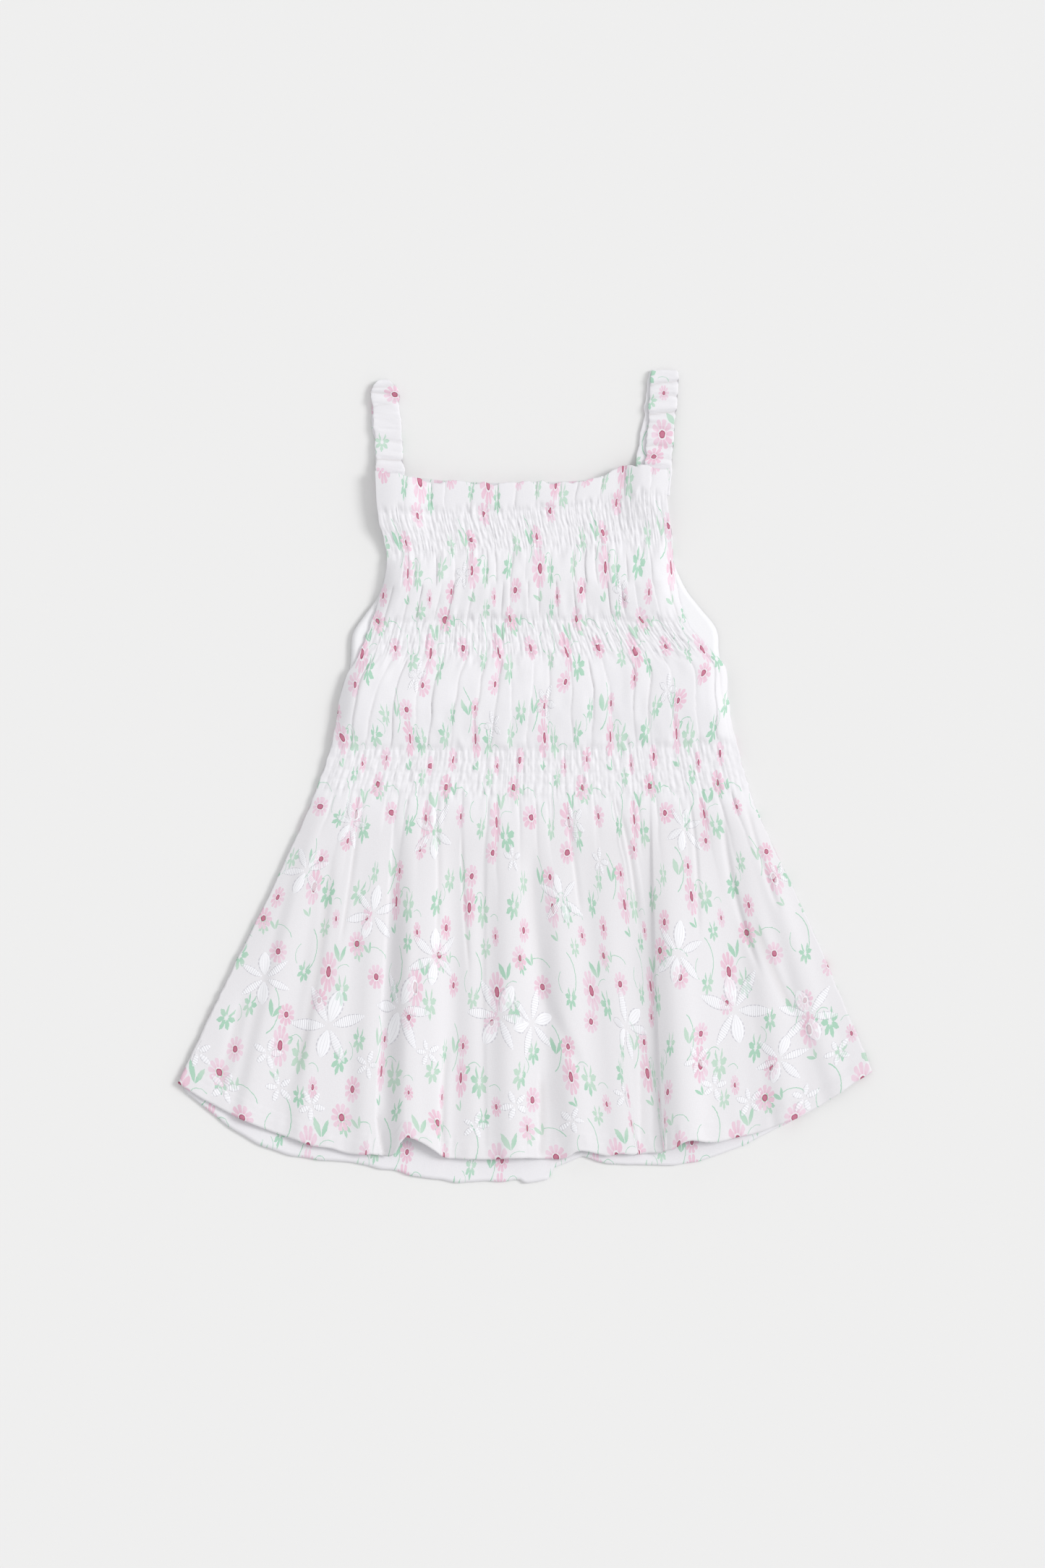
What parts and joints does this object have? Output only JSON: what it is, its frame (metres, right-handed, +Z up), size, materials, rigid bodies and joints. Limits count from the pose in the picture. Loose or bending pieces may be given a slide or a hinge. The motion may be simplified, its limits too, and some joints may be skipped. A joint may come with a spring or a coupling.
{
  "type": "smocked dress",
  "caption": "Toddler's sleeveless smocked sundress laid flat, front up: gathered shoulder straps, frilled neck edge, shirred bodice and a wide gathered skirt.",
  "frame": {"origin": "on the surface the dress lies on, under the middle of the dress's outline", "axes": "+Y from the hem to the shoulder straps, +X to the viewer's right with the front up, +Z up from the surface"},
  "size_m": [0.422, 0.4935, 0.0134],
  "materials": {
    "printed_cotton": "matte thin woven cotton with a small printed flower repeat and white embroidery",
    "lining_cotton": "matte plain white cotton"
  },
  "bodies": {
    "root": {"front": "printed_cotton", "back": "printed_cotton", "bodice_lining": "lining_cotton", "strap_left": "printed_cotton", "strap_right": "printed_cotton"}
  },
  "joints": []
}
